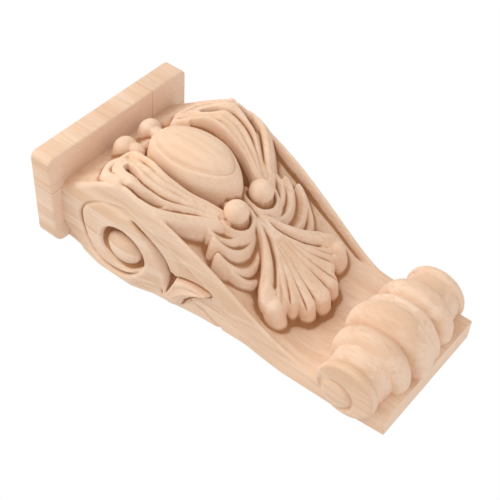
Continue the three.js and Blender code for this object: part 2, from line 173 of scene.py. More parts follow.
SIDE_BACKS = [
    (0, 39.7), (15, 40.7), (26, 41.5), (60, 42.3), (73, 41.3), (84, 40.4), (99, 41.0), (114, 41.8),
    (123, 43.0), (132, 44.3), (139, 45.2), (145, 46), (189, 46), (200, 44.6), (206, 44),
]
SCROLL_BACKS = [
    (123, 42.9), (132, 44.3), (139, 45.2), (144.5, 46.2), (150, 47.6), (156, 49), (179, 49),
    (184, 48.3), (189, 47.4), (194, 46.4), (200, 45.2),
]
SCROLL_DEPTH, SCROLL_HEIGHT = 24, 168.6
SCROLL_HALF, SCROLL_FRONT_HALF = 49, 47.0
SCROLL_EDGE = [
    (131, 15), (134.2, 21.3), (135.6, 26.0), (137.8, 30.4), (140.8, 34.2), (144.2, 37.4),
    (148, 40.2), (151.6, 42.4), (154.9, 44.6), (157.8, 46.4), (161, 47.6), (168, 60),
]
WINDING = [
    (49.6, 167.0), (48.0, 172.2), (45.2, 178.4), (41.8, 183.8), (37.2, 188.8), (31.0, 192.0),
    (23.4, 192.0), (15.6, 189.6), (9.9, 185.2), (5.4, 178.2), (3.9, 169.7), (5.6, 160.5),
    (9.6, 154.0), (14.6, 150.2), (20.4, 149.4), (25.4, 151.0),
]
WINDING_WIDTHS = [(0, 0.7), (0.25, 0.9), (0.5, 1.4), (0.65, 1.5), (0.85, 1.1), (1, 1.5)]
WINDING_DEPTHS = [
    (0, 0.2), (0.2, 1.1), (0.38, 2.0), (0.55, 2.7), (0.68, 2.6), (0.85, 1.8), (1, 2.0),
]
CHANNEL = [
    (47.6, 161.0), (46.4, 157.8), (44.6, 154.9), (42.4, 151.6), (40.2, 148.0), (37.4, 144.2),
    (34.2, 140.8), (30.4, 137.8), (26.0, 135.6), (21.3, 134.2), (18.6, 133.2),
]
CHANNEL_FLOORS = [(0, 47.6), (0.15, 44.4), (0.4, 40.6), (0.7, 38.0), (1, 37.4)]
PIT = [(20.4, 131.8), (16, 132.8), (11, 133.8), (6.4, 134.6)]
POCKET = (21.8, 162.8, 12.6, 14.8)
EYE = (19.6, 164.2, 9.8, 11.8)

PETAL = [(5.6, 131.4), (11.2, 128.8), (15.8, 124.2), (18.4, 118.8), (19.8, 114.2), (20.6, 109.2)]
PETAL_WIDTHS = [(0, 5.4), (0.25, 5.8), (0.45, 5.6), (0.65, 4.0), (0.82, 2.2), (1, 0.4)]
PETAL_BACKS = [(114, 41.9), (123, 43.0), (132, 44.4), (139, 45.3)]
SIDE_LINES = [
    ([(8.4, 120.4), (6.8, 113), (3.2, 107), (0.6, 101.5), (-2, 97)], 0.8, 1.9),
    ([(12.6, 113.8), (11.4, 106), (10.4, 98), (8.4, 91.6), (5.6, 86)], 0.8, 1.7),
    ([(16.2, 107.4), (14.2, 100), (11.4, 93.4), (9.2, 88)], 0.6, 0.9),
    ([(1.0, 129.6), (6.0, 125.2), (10.6, 121.0), (15.0, 116.6), (18.4, 110.6)], 0.8, 1.5),
    ([(2.6, 125.6), (7.0, 121.6), (11.4, 117.4), (15.6, 112.0)], 0.6, 1.0),
    ([(10.6, 136.4), (16.6, 134.4), (21.6, 130.4)], 0.9, 2.0),
]

ROLL_DEPTH, ROLL_HEIGHT, ROLL_END = 16.0, 23.5, 42.6
ROLL_LEFT = [
    (-14, 17.6), (-13, 18.8), (-11.5, 21.0), (-9.5, 22.9), (-7, 24.3), (-4, 24.9), (-1, 24.6),
    (0.8, 24.1),
]
ROLL_RIGHT = [
    (0.8, 24.1), (1.3, 22.9), (2, 22.4), (4, 22.2), (6, 22.4), (7.4, 22.7), (8.4, 22.3), (10, 20.6),
    (11.6, 18.9), (13, 17.8),
]
ROLL_NECK = [
    (26, 17.0), (27, 16.8), (30, 16.5), (34, 16.1), (36.4, 15.7), (37.2, 15.4), (37.8, 16.2),
    (38.6, 16.9), (41, 16.9), (42.2, 16.3), (42.6, 15.6),
]
ROLL_CRESCENT = [(19.2, 31), (18.6, 25), (15, 20.8), (10.2, 19.2), (5.4, 20.2), (2.4, 24)]
ROLL_NICK = [(17, 36.6), (12.4, 37.4), (7.6, 35.4)]

CAP_FRONT_CORNER, CAP_BACK_CORNER, CAP_EDGE = 4.2, 7.0, 0.9

# How many times the points are averaged when hollows of each size are looked for
HOLLOW_REACHES = (3, 9, 24, 60)

# Glue lines of the block, in metres
RIGHT_GLUE, FRONT_GLUE = 0.0256, -0.0375

# Name, place, size and power of each lamp
LAMPS = [
    ("key", (-0.45, -1.0, 1.1), 1.2, 13),
    ("front", (-0.9, -1.0, -0.3), 1.6, 2.6),
    ("low", (-0.35, -0.6, -1.5), 1.4, 11),
    ("rear", (0.6, 1.3, 0.8), 1.2, 5),
]

# Turn of the camera in radians, its shift in millimetres and its focal length in picture points
CAMERA_TURN = (0.78, -0.868, -0.319)
CAMERA_SHIFT = (88.572, 67.044, 532.179)
CAMERA_FOCUS = 1063.246
PICTURE_WIDTH, SENSOR_WIDTH = 500, 36


# Curves and cuts


def smooth(low, high, value):
    """Smooth step from 0 at the low end to 1 at the high end."""
    t = np.clip((value - low) / (high - low), 0.0, 1.0)
    return t * t * (3 - 2 * t)


def ramp(value, stops):
    """Size at a place, from a table of places and sizes."""
    places, sizes = zip(*stops)
    return np.interp(value, places, sizes)


def bezier(points, count=60):
    """Points along a curve with two handles."""
    t = np.linspace(0, 1, count)[:, None]
    p = [np.array(q, float) for q in points]
    handles = 3 * (1 - t) ** 2 * t, 3 * (1 - t) * t * t
    return (1 - t) ** 3 * p[0] + handles[0] * p[1] + handles[1] * p[2] + t**3 * p[3]


def rounded_path(points, count=70):
    """Even points along a smooth line through a few chosen ones."""
    p = np.array(points, float)
    p = np.vstack([2 * p[0] - p[1], p, 2 * p[-1] - p[-2]])
    line = []
    for i in range(1, len(p) - 2):
        t = np.linspace(0, 1, 24, endpoint=False)[:, None]
        a, b, c, d = p[i - 1 : i + 3]
        square = (2 * a - 5 * b + 4 * c - d) * t**2
        cube = (3 * b - a - 3 * c + d) * t**3
        line.append(0.5 * (2 * b + (c - a) * t + square + cube))
    line = np.vstack(line + [p[-2:-1]])
    run = np.concatenate([[0], np.cumsum(np.hypot(*np.diff(line, axis=0).T))])
    even = np.linspace(0, run[-1], count)
    return np.column_stack([np.interp(even, run, line[:, 0]), np.interp(even, run, line[:, 1])])


def sweep_line():
    """Line of the rims from the waist up over the brow to the neck."""
    waist, brow, neck = DEPTHS["waist"], DEPTHS["brow"], DEPTHS["neck"]
    lower = bezier([(WAIST_HEIGHT, waist), (74.6, waist), (97.7, 47.1), (BROW_HEIGHT, brow)])
    upper = bezier([(BROW_HEIGHT, brow), (168, brow + 0.7), (183, 55.5), (BODY_TOP, neck)])
    return np.vstack([lower, upper[1:]])


SWEEP = sweep_line()


def front_depth(h):
    """How far the rims stand out from the wall."""
    below = np.interp(h, [0, WAIST_HEIGHT], [DEPTHS["foot"], DEPTHS["waist"]])
    return np.where(h < WAIST_HEIGHT, below, np.interp(h, SWEEP[:, 0], SWEEP[:, 1]))


def oval(a, b, place):
    """Distance from the middle of an oval, 1 on its edge."""
    return np.hypot((a - place[0]) / place[2], (b - place[1]) / place[3])


def bulge(r, power=2.0):
    """Rounded top, 1 in the middle and 0 at the edge."""
    return np.sqrt(np.maximum(0, 1 - np.minimum(r, 1) ** power))


def rounding(gap, h):
    """How far a rounded edge falls away at a distance from the outermost line."""
    radius = ramp(h, EDGE_RADII)
    inside = np.clip(radius - gap, 0, radius)
    return radius - np.sqrt(np.maximum(radius**2 - inside**2, 0))


def stroke(x, h, path, reach):
    """Distance to a line, place along it and the side, for the points near it."""
    line = rounded_path(path)
    distance = np.full(x.shape, FAR)
    along = np.zeros(x.shape)
    side = np.zeros(x.shape)
    low = line.min(axis=0) - reach
    high = line.max(axis=0) + reach
    near = (x > low[0]) & (x < high[0]) & (h > low[1]) & (h < high[1])
    px, ph = x[near], h[near]
    best = np.full(px.shape, FAR)
    t_best = np.zeros(px.shape)
    s_best = np.zeros(px.shape)
    for i in range(len(line) - 1):
        a, b = line[i], line[i + 1]
        d = b - a
        u = np.clip(((px - a[0]) * d[0] + (ph - a[1]) * d[1]) / (d @ d), 0, 1)
        ex, eh = px - a[0] - u * d[0], ph - a[1] - u * d[1]
        gap = np.hypot(ex, eh)
        closer = gap < best
        best = np.where(closer, gap, best)
        t_best = np.where(closer, (i + u) / (len(line) - 1), t_best)
        s_best = np.where(closer, np.sign(d[0] * eh - d[1] * ex), s_best)
    distance[near], along[near], side[near] = best, t_best, s_best
    return distance, along, side


def rib(x, h, path, widths, lifts, crown=1.6, roundness=2.4, wall=4.0, spoon=(), flutes=()):
    """A carved rib over the sweep: rounded or hollowed on top, with steep sides."""
    gap, t, side = stroke(x, h, path, 12)
    half = ramp(t, widths)
    r = np.minimum(gap / half, 1)
    q = r * side
    top = front_depth(h) + ramp(t, lifts) - crown * r**roundness
    if spoon:
        depth, start = spoon
        top = top - depth * np.exp(-(((q + 0.08) / 0.5) ** 2)) * smooth(start, start + 0.25, t)
    if flutes:
        depth, count, last = flutes
        wave = depth * (0.5 - 0.5 * np.cos(2 * np.pi * count * q))
        top = top - wave * smooth(0.02, 0.14, t) * smooth(last, last - 0.3, t)
    return np.where(gap < FAR / 10, top - wall * np.maximum(gap - half, 0), -FAR)


def slot(x, h, path, widths, floors, base, wall=2.6):
    """Highest wood left by a steep-sided cut along a line; its floor lies off the base surface."""
    gap, t, _ = stroke(x, h, path, 7)
    half = ramp(t, widths)
    left = base + ramp(t, floors) + wall * np.maximum(gap - half, 0)
    left = left + 0.5 * np.minimum(gap / half, 1) ** 2
    return np.where(gap < FAR / 10, left, FAR)


def groove(x, h, path, width, depth):
    """Depth of a round-bottomed cut along a line; width and depth change along it."""
    gap, t, _ = stroke(x, h, path, 6)
    return ramp(t, depth) * np.exp(-((gap / ramp(t, width)) ** 2) * 1.4)


def cut_grooves(form, x, h, cuts, widths, depths):
    """Takes several grooves out of a form; the tables are factors on each width and depth."""
    for path, width, depth in cuts:
        wide = [(t, width * k) for t, k in widths]
        deep = [(t, k * depth) for t, k in depths]
        form = form - groove(x, h, path, wide, deep)
    return form


# Carving of the front


def ground(x, h, hollow):
    """Sweep with a thin wall at each side and a dished hollow between."""
    rim = ramp(h, RIM_WIDTHS)
    edge = rim - x
    across = np.clip(x / (rim - 3.8), 0, 1)
    deep = (ramp(h, RIM_WALLS) + ramp(h, DISH_DEPTHS) * (1 - across**2)) * hollow / USUAL_HOLLOW
    drop = deep * smooth(1.9, 3.5, edge)
    line = np.exp(-(((edge - 3.9) / 0.8) ** 2)) * smooth(60, 72, h) * smooth(150, 132, h)
    return front_depth(h) - drop - line - rounding(edge, h)


def egg_form(x, h, egg):
    """Egg with a thin ring line cut round its face."""
    tall, wide = egg["length"] / 2, egg["width"] / 2
    s = (h - EGG_MIDDLE) / tall
    taper = np.where(s < 0, 1 - 0.27 * s * s, 1 - 0.06 * s * s)
    r = np.sqrt((x / (wide * taper)) ** 2 + s * s)
    swell = np.maximum(0, 1 - np.minimum(r, 1) ** 2.7) ** 0.44
    form = EGG_SEAT + (egg["depth"] - EGG_SEAT) * swell
    up = (h - EGG_MIDDLE - 0.6) / (0.815 * tall)
    ring = np.sqrt((x / (0.755 * wide * taper)) ** 2 + up**2)
    form = form - 1.5 * np.exp(-(((ring - 1) * 13 / 0.52) ** 2)) - 0.3 * smooth(1.0, 1.05, ring)
    form = form + 0.45 * np.exp(-(((ring - 1.1) * 13 / 0.7) ** 2))
    return np.where(r < 1, form, EGG_SEAT - 3.4 * (r - 1) * 18)


def ball_seat(x, h):
    """Stem and raised ring that each ball sits in."""
    r = np.hypot(x - BALL_SIDE, h - BALL_HEIGHT)
    stem = np.where(r < STEM_RADIUS, 50.4, 50.4 - 8 * (r - STEM_RADIUS))
    seat = 49.2 + np.minimum(0.52 * (h - BALL_HEIGHT), 0.8)
    ring = seat + 1.0 * np.sqrt(np.maximum(0, 1 - ((r - RING_RADIUS) / RING_HALF) ** 2))
    beside = np.where(r < RING_RADIUS, seat - 1.5, seat - 2.6 * (r - RING_OUTER))
    return np.maximum(stem, np.where(np.abs(r - RING_RADIUS) < RING_HALF, ring, beside))


def cup_forms(x, h):
    """Nested cups with raised lips that open out beneath each ball."""
    form = np.full(x.shape, -FAR)
    for side, height, wide, tall, lift, rise in CUPS:
        u = (x - side) / wide
        r = oval(x, h, (side, height, wide, tall))
        bowl = -2.9 * smooth(0.95, 0.62, r) - 0.6 * smooth(0.94, 1.0, r) ** 2
        cup = front_depth(h) + lift + rise * u * u + bowl
        cup = np.where(r < 1, cup, cup - 4.0 * (r - 1) * tall)
        form = np.maximum(form, cup - 2.5 * np.maximum(h - height - 1.5, 0))
    return form


def fan_form(x, h):
    """Five fingers and, at each side, a broad lobe with a deep vein and a knob."""
    form = np.full(x.shape, -FAR)
    for path, half in FAN_FINGERS:
        widths = [(0, 2.6), (0.5, half * 0.95), (0.85, half * 1.04), (1, half * 0.9)]
        form = np.maximum(form, rib(x, h, path, widths, FAN_LIFT, 1.3, 4.0, 9.0))
    for path, width, depth in FAN_CUTS:
        wide = [(0, 0.5), (0.5, 0.7), (0.8, 0.9), (1, width)]
        deep = [(0, 0.3), (0.3, 0.8), (0.6, 1.1), (0.85, 2.0), (1, depth)]
        form = form - groove(x, h, path, wide, deep)
    widths = [(0, 2.0), (0.5, 5.0), (0.85, 7.4), (1, 6.8)]
    lifts = [(0, 0.6), (0.18, 3.6), (0.5, 3.4), (0.8, 2.0), (1, 2.4)]
    form = np.maximum(form, rib(x, h, LOBE, widths, lifts, 1.2, 4.0, 9.0))
    side, height, wide, tall = LOBE_KNOB
    top = front_depth(height) + 4.2
    form = np.maximum(form, dome(x, h, (side, height), (wide, tall), top, 5.0))
    wide = [(0, 0.35), (0.5, 0.55), (1, 0.7)]
    floors = [(0, 2.6), (0.2, 0.4), (0.9, -0.6), (1, 1.4)]
    form = np.minimum(form, slot(x, h, LOBE_VEIN, wide, floors, front_depth(h), 2.0))
    wide = [(0, 0.5), (0.5, 0.6), (1, 0.7)]
    deep = [(0, 0.2), (0.3, 0.8), (0.8, 1.0), (1, 1.2)]
    for path in FAN_LINES:
        form = form - groove(x, h, path, wide, deep)
    return form - groove(x, h, LOBE_SCOOP, [(0, 0.9), (1, 1.8)], [(0, 0.3), (0.6, 1.1), (1, 0.8)])


def dome(x, h, at, size, top, rise):
    """Rounded nub with its highest point at a depth from the wall."""
    r = oval(x, h, at + size)
    round_top = top - rise * (1 - bulge(r))
    return np.where(r < 1, round_top, round_top - 4 * (r - 1) * min(size))


def strand_forms(x, h):
    """Leaf that sweeps up beside the egg in three lobes with curled tips."""
    crest = front_depth(h)
    inner_lift = [(0, 2.4), (0.3, 1.8), (0.7, 2.2), (0.9, 2.8), (1, 2.6)]
    outer_lift = [(0, 2.4), (0.3, 1.8), (0.6, 1.9), (0.9, 2.6), (1, 2.6)]
    edge_lift = [(0, 2.0), (0.3, 2.2), (0.6, 2.0), (0.8, 1.2), (1, 0.9)]
    inner = rib(
        x, h, INNER, INNER_WIDTHS, inner_lift, 1.5, 6.0, 3.4,
        spoon=(2.2, 0.5), flutes=(0.9, 1.5, 0.9),
    )
    outer = rib(
        x, h, OUTER, OUTER_WIDTHS, outer_lift, 1.6, 4.0, 3.4,
        spoon=(1.0, 0.6), flutes=(0.7, 0.5, 1.1),
    )
    edge = rib(x, h, EDGE, EDGE_WIDTHS, edge_lift, 1.7, 2.2, 3.4, flutes=(0.5, 1.0, 0.9))
    form = np.maximum(np.maximum(inner, outer), edge)
    tapered = [(0, 0.7), (0.5, 1.0), (1, 0.6)]
    form = cut_grooves(form, x, h, LEAF_TROUGHS, tapered, [(0, 0.2), (0.4, 1.0), (1, 0.4)])
    form = cut_grooves(form, x, h, LEAF_SCOOPS, tapered, [(0, 0.4), (0.5, 1.0), (1, 0.2)])
    widths = [(0, 0.8), (0.2, 1.2), (0.5, 0.6), (1, 0.2)]
    floors = [(0, -5), (0.3, -6.5), (0.6, -2.4), (1, 1.4)]
    form = np.minimum(form, slot(x, h, DRILLED, widths, floors, crest, 5.0))
    widths = [(0, 1.0), (0.3, 1.2), (0.7, 0.9), (1, 0.4)]
    floors = [(0, -3), (0.2, -6), (0.65, -5.5), (1, 0.8)]
    form = np.minimum(form, slot(x, h, PARTING, widths, floors, crest, 5.0))
    knob = dome(x, h, (9.8, 194.2), (7.0, 6.4), 55.4, 6.4)
    stem = dome(x, h, (8.6, 187.5), (4.0, 6.4), 54.4, 3.4)
    nub = dome(x, h, (45.6, 165.4), (2.6, 2.8), 66.4, 2.6)
    return np.maximum(form, np.maximum(np.maximum(knob, stem), nub))


def front_carving(x, h, sizes):
    """Depth of the carved front from the wall."""
    a = np.abs(x)
    form = ground(a, h, sizes["hollow"])
    form = form - 3.0 * smooth(1.08, 0.92, oval(a, h, MOAT)) * smooth(200, 186, h)
    for carve in (strand_forms, fan_form, cup_forms, ball_seat):
        form = np.maximum(form, carve(a, h))
    form = np.maximum(form, egg_form(a, h, sizes["egg"]))
    widths = [(0, 0.4), (0.3, 0.9), (0.8, 1.1), (1, 1.7)]
    floors = [(0, -4), (0.2, -8), (0.8, -9), (1, -8)]
    form = np.minimum(form, slot(a, h, EGG_GROOVE, widths, floors, front_depth(h), 8.0))
    return np.clip(form, DEEPEST, HIGHEST)


# Carving of the sides


def side_carving(d, h, sizes):
    """Half width of the block at a depth from the wall and a height."""
    crest = front_depth(h)
    rim = ramp(h, RIM_WIDTHS)
    back = ramp(h, SIDE_BACKS)
    low = rim + (back - rim) * np.clip(1 - d / np.maximum(crest, 1), 0, 1)
    behind = crest - sizes["band"] - d
    panel = smooth(74, 92, h)
    deep = np.maximum(rim - back, 0.0) + 0.4
    form = low * (1 - panel) + panel * (rim - deep * smooth(-0.4, 1.6, behind))
    form = form + 0.5 * panel * np.exp(-((behind / 1.1) ** 2)) * smooth(1.0, -0.8, behind)
    form = form - rounding(crest - d, h)
    return scroll_form(d, h, sizes["scroll"] / 2, petal_form(d, h, rim, form))


def scroll_form(d, h, half_span, form):
    """Oval plate on the side with a winding groove, a deep channel, a pocket and its eye."""
    back = ramp(h, SCROLL_BACKS)
    swell = (half_span - SCROLL_HALF) * smooth(125, 156, h) * smooth(200, 179, h)
    lean = (SCROLL_FRONT_HALF - back) * smooth(1, 40, d) * smooth(206, 186, h)
    top_lean = smooth(186, 206, h) * (SCROLL_FRONT_HALF - back) * smooth(1, 14, d)
    face = back + lean + top_lean + swell
    upper = np.where(h > SCROLL_HEIGHT, 42.0, 38.4)
    reach = np.where(d > SCROLL_DEPTH, 23.4 + 4 * smooth(172, 196, h), 31)
    r = oval(d, h, (SCROLL_DEPTH, SCROLL_HEIGHT, reach, upper))
    gap = (1 - r) * np.minimum(reach, 26)
    gap = np.minimum(gap, 0.75 * (ramp(h, SCROLL_EDGE) - d) + 0.6)
    plate = face - 0.5 * np.clip(r, 0, 1) ** 6
    merge = smooth(170, 158, h) + smooth(34, 27, d)
    wide = 1.3 + 5 * (1 - np.clip(merge, 0, 1))
    scroll = form + (plate - form) * smooth(0, 1, gap / wide + 0.35)
    scroll = np.where(gap > -0.35 * wide, scroll, form)

    widths = [(0, 0.2), (0.25, 0.7), (0.6, 1.1), (0.9, 1.4), (1, 1.0)]
    scroll = np.minimum(scroll, slot(d, h, CHANNEL, widths, CHANNEL_FLOORS, 0, 5.5))
    widths = [(0, 1.9), (0.35, 1.5), (0.7, 0.7), (1, 0.2)]
    floors = [(0, 37.8), (0.4, 39), (0.75, 41.5), (1, 44)]
    scroll = np.minimum(scroll, slot(d, h, PIT, widths, floors, 0, 5.0))
    behind_eye = smooth(0.0, 0.9, -(d - 22.4) / 14 - 0.5 * (161.2 - h) / 16 - 0.2)
    inside = smooth(1.03, 0.95, oval(d, h, POCKET))
    scroll = scroll - (5.8 - 5.0 * behind_eye) * inside * smooth(face - 6, face - 3, scroll)
    eye = oval(d, h, EYE)
    eye_top = face - 5.6 + 5.5 * bulge(eye, 2.4)
    scroll = np.where(eye < 1, np.maximum(scroll, eye_top), scroll)
    return scroll - groove(d, h, WINDING, WINDING_WIDTHS, WINDING_DEPTHS)


def petal_form(d, h, rim, form):
    """Pointed leaf beneath the scroll, with thin cut lines running down behind it."""
    gap, t, side = stroke(d, h, PETAL, 10)
    half = ramp(t, PETAL_WIDTHS)
    r = np.minimum(gap / half, 1)
    q = r * side
    petal = rim + 0.9 - 1.3 * r**3
    petal = petal - 0.9 * np.exp(-(((q - 0.25) / 0.3) ** 2))
    petal = petal + 0.5 * np.exp(-(((q + 0.35) / 0.14) ** 2))
    petal = np.minimum(petal, ramp(h, PETAL_BACKS) + 0.22 * np.maximum(d, 0))
    petal = np.where(gap < FAR / 10, petal - 2.6 * np.maximum(gap - half, 0), -FAR)
    outline = 2.2 * np.exp(-(((gap - half - 0.9) / 0.9) ** 2)) * smooth(0.5, 6, d)
    outline = outline * smooth(74, 92, h)
    form = np.maximum(form - np.where(gap < FAR / 10, outline, 0), petal)
    for path, width, depth in SIDE_LINES:
        wide = [(0, 0.6 * width), (0.4, width), (1, 0.6 * width)]
        deep = [(0, 0.5 * depth), (0.3, depth), (0.8, 0.8 * depth), (1, 0.1)]
        form = form - groove(d, h, path, wide, deep)
    return form


# Meshes


def mesh_points(mesh):
    """Places of all points of a mesh."""
    flat = np.empty(len(mesh.vertices) * 3)
    mesh.vertices.foreach_get("co", flat)
    return flat.reshape(-1, 3)


def set_points(mesh, points):
    """Moves all points of a mesh."""
    mesh.vertices.foreach_set("co", points.ravel())
    mesh.update()


def neighbours(mesh):
    """Returns a function that averages values over the points joined to each point."""
    count = len(mesh.vertices)
    pairs = np.empty(len(mesh.edges) * 2, dtype=np.int64)
    mesh.edges.foreach_get("vertices", pairs)
    a, b = pairs.reshape(-1, 2).T
    degree = np.bincount(np.concatenate([a, b]), minlength=count)[:, None]

    def average(values):
        total = [np.bincount(a, v[b], count) + np.bincount(b, v[a], count) for v in values.T]
        return np.column_stack(total) / degree

    return average


def new_object(name, bm):
    """Puts a finished edit mesh in the scene."""
    mesh = bpy.data.meshes.new(name)
    bm.to_mesh(mesh)
    bm.free()
    piece = bpy.data.objects.new(name, mesh)
    bpy.context.scene.collection.objects.link(piece)
    return piece


def cut_edges(bm, axis, cuts):
    """Cuts every edge that runs along one axis."""
    along = [e for e in bm.edges if abs((e.verts[1].co - e.verts[0].co)[axis]) > 1e-6]
    bmesh.ops.subdivide_edges(bm, edges=along, cuts=cuts, use_grid_fill=True)


def row_heights(step):
    """Heights of the rows of the grid, closest where the carving is."""
    zones = [(-1.0, 46.0, 3.2), (46.0, 56.0, 1.6), (56.0, 188.0, 1.0), (188.0, GRID_TOP, 1.5)]
    rows = [np.arange(low, high, factor * step) for low, high, factor in zones]
    return np.concatenate(rows + [[GRID_TOP]])


def carve_body(sizes):
    """A box cut into a fine grid, whose front and sides are moved to the carving."""
    step = sizes["step"]
    rows = row_heights(step)
    columns = int(round(GRID_WIDTH / step / 2)) * 2
    layers = int(round(GRID_DEPTH / (step * LAYER_STEP)))
    bm = bmesh.new()
    bmesh.ops.create_cube(bm, size=1.0)
    for axis, count in ((0, columns), (2, len(rows) - 1), (1, layers)):
        cut_edges(bm, axis, count - 1)
    piece = new_object("body", bm)
    grid = mesh_points(piece.data)
    u = grid[:, 0] * 2
    v = 0.5 - grid[:, 1]
    row = np.round((grid[:, 2] + 0.5) * (len(rows) - 1)).astype(int)
    h = np.minimum(rows[np.clip(row, 0, len(rows) - 1)], GRID_TOP)
    on_body = np.clip(h, 0, BODY_TOP)
    inset = CORNER_SHARE * ramp(on_body, EDGE_RADII)
    front = v > 1 - 1e-4
    side = np.abs(u) > 1 - 1e-4
    back = v < 1e-4
    depth = v * (front_depth(on_body) - inset)
    half = ramp(on_body, RIM_WIDTHS) - inset
    flank = side & ~front
    half[flank] = side_carving(depth[flank], on_body[flank], sizes)
    x = u * half
    depth[front] = front_carving(x[front], on_body[front], sizes)
    depth[back] = -1.0
    points = np.column_stack([x, -depth, h - HEIGHT / 2])
    average = neighbours(piece.data)
    carved = (front | side) & ~back & (h > 50)
    for _ in range(2):
        eased = 0.5 * points + 0.5 * average(points)
        points[carved] = eased[carved]
    set_points(piece.data, points)
    return piece


def roll_radius(x):
    """Outline of the turned roll; its middle swells to one side of a low step."""
    s = np.abs(x)
    middle = np.where(x < 0.8, ramp(x, ROLL_LEFT), ramp(x, ROLL_RIGHT))
    bead = 17.0 + 4.8 * np.sqrt(np.maximum(0, 1 - ((s - 19.8) / 6.9) ** 2)) ** 1.15
    return np.where(s < 13.2, middle, np.where(s < 26.4, bead, ramp(s, ROLL_NECK)))


def turn_roll(sizes):
    """The roll: an outline spun about its axis, with both end faces cut by hand."""
    left, right = np.linspace(-ROLL_END, -37, 14)[:-1], np.linspace(37, ROLL_END, 14)[1:]
    along = np.concatenate([left, np.linspace(-37, 37, 128), right])
    radii = roll_radius(along) * sizes["roll"]
    face = np.linspace(0, radii[0], 18)[:-1]
    axis = Vector((0, -ROLL_DEPTH, ROLL_HEIGHT - HEIGHT / 2))
    outline = [(-ROLL_END, r) for r in face]
    outline += list(zip(along, radii))
    outline += [(ROLL_END, r) for r in face[::-1]]
    bm = bmesh.new()
    verts = [bm.verts.new((x, axis.y - r, axis.z)) for x, r in outline]
    edges = [bm.edges.new(pair) for pair in zip(verts, verts[1:])]
    bmesh.ops.spin(
        bm, geom=verts + edges, cent=axis, axis=(1, 0, 0), angle=2 * math.pi, steps=112,
        use_merge=True,
    )
    bmesh.ops.remove_doubles(bm, verts=bm.verts, dist=1e-3)
    bmesh.ops.recalc_face_normals(bm, faces=bm.faces)
    piece = new_object("roll", bm)
    p = mesh_points(piece.data)
    r = np.hypot(p[:, 1] - axis.y, p[:, 2] - axis.z)
    ends = np.abs(p[:, 0]) > ROLL_END - 0.05
    d, h = -p[:, 1], p[:, 2] + HEIGHT / 2
    widths = [(0, 0.8), (0.6, 1.4), (1, 1.0)]
    cuts = groove(d, h, ROLL_CRESCENT, widths, [(0, 1.2), (0.6, 3.0), (1, 1.2)])
    cuts = cuts + groove(d, h, ROLL_NICK, [(0, 0.9), (1, 1.0)], [(0, 0.5), (0.5, 1.2), (1, 0.5)])
    swell = 0.9 * np.sqrt(np.maximum(0, 1 - (np.hypot(d - 10.5, h - 28) / 8.4) ** 2))
    crown = 0.3 * (1 - np.clip(r / 15, 0, 1) ** 2)
    p[:, 0] -= np.sign(p[:, 0]) * np.where(ends, cuts - swell - crown, 0)
    set_points(piece.data, p)
    return piece


def shape_balls():
    """The two balls beneath the egg."""
    bm = bmesh.new()
    for x in (-BALL_SIDE, BALL_SIDE):
        place = Matrix.Translation((x, -BALL_DEPTH, BALL_HEIGHT - HEIGHT / 2))
        bmesh.ops.create_uvsphere(
            bm, u_segments=64, v_segments=40, radius=BALL_RADIUS, matrix=place
        )
    return new_object("balls", bm)


def round_off(bm, edges, radius, segments):
    """Rounds some edges."""
    bmesh.ops.bevel(
        bm, geom=edges, offset=radius, offset_type="OFFSET", segments=segments, profile=0.5,
        affect="EDGES", material=-1,
    )


def is_upright(edge):
    """Whether an edge stands straight up."""
    a, b = edge.verts[0].co, edge.verts[1].co
    return abs(a.x - b.x) < 1e-6 and abs(a.y - b.y) < 1e-6


def is_rim(edge):
    """Whether an edge lies between a flat face and an upright one."""
    if len(edge.link_faces) != 2:
        return False
    return abs(edge.link_faces[0].normal.z - edge.link_faces[1].normal.z) > 0.5


def shape_cap(sizes):
    """The top slab: a box with rounded upright corners and eased edges."""
    wide, deep, thick = sizes["cap_width"], sizes["cap_depth"], HEIGHT - BODY_TOP
    bm = bmesh.new()
    bmesh.ops.create_cube(bm, size=1.0)
    bmesh.ops.scale(bm, vec=(wide, deep, thick), verts=bm.verts)
    bmesh.ops.translate(bm, vec=(0, -deep / 2, HEIGHT / 2 - thick / 2), verts=bm.verts)
    for front, radius in ((True, CAP_FRONT_CORNER), (False, CAP_BACK_CORNER)):
        corners = [
            e for e in bm.edges if is_upright(e) and (e.verts[0].co.y < -deep / 2) == front
        ]
        round_off(bm, corners, radius, 8)
    round_off(bm, [e for e in bm.edges if is_rim(e)], CAP_EDGE, 3)
    bmesh.ops.recalc_face_normals(bm, faces=bm.faces)
    return new_object("cap", bm)


def waste_block(low, high):
    """A plain box of wood to cut away."""
    bm = bmesh.new()
    bmesh.ops.create_cube(bm, size=1.0)
    bmesh.ops.scale(bm, vec=[b - a for a, b in zip(low, high)], verts=bm.verts)
    bmesh.ops.translate(bm, vec=[(a + b) / 2 for a, b in zip(low, high)], verts=bm.verts)
    return new_object("waste", bm)


def keep_result(piece):
    """Puts the result of the modifiers in place of the mesh."""
    graph = bpy.context.evaluated_depsgraph_get()
    made = bpy.data.meshes.new_from_object(piece.evaluated_get(graph))
    piece.modifiers.clear()
    old = piece.data
    piece.data = made
    bpy.data.meshes.remove(old)


def combine(piece, other, operation):
    """Joins another block of wood to the piece, or cuts it away."""
    change = piece.modifiers.new("join", "BOOLEAN")
    change.object = other
    change.operation = operation
    change.solver = "MANIFOLD"
    keep_result(piece)
    bpy.data.meshes.remove(other.data)


def thin_out(piece, most):
    """Brings the piece down to a number of triangles."""
    piece.data.calc_loop_triangles()
    count = len(piece.data.loop_triangles)
    if count <= most:
        return
    change = piece.modifiers.new("thin", "DECIMATE")
    change.ratio = most / count
    keep_result(piece)


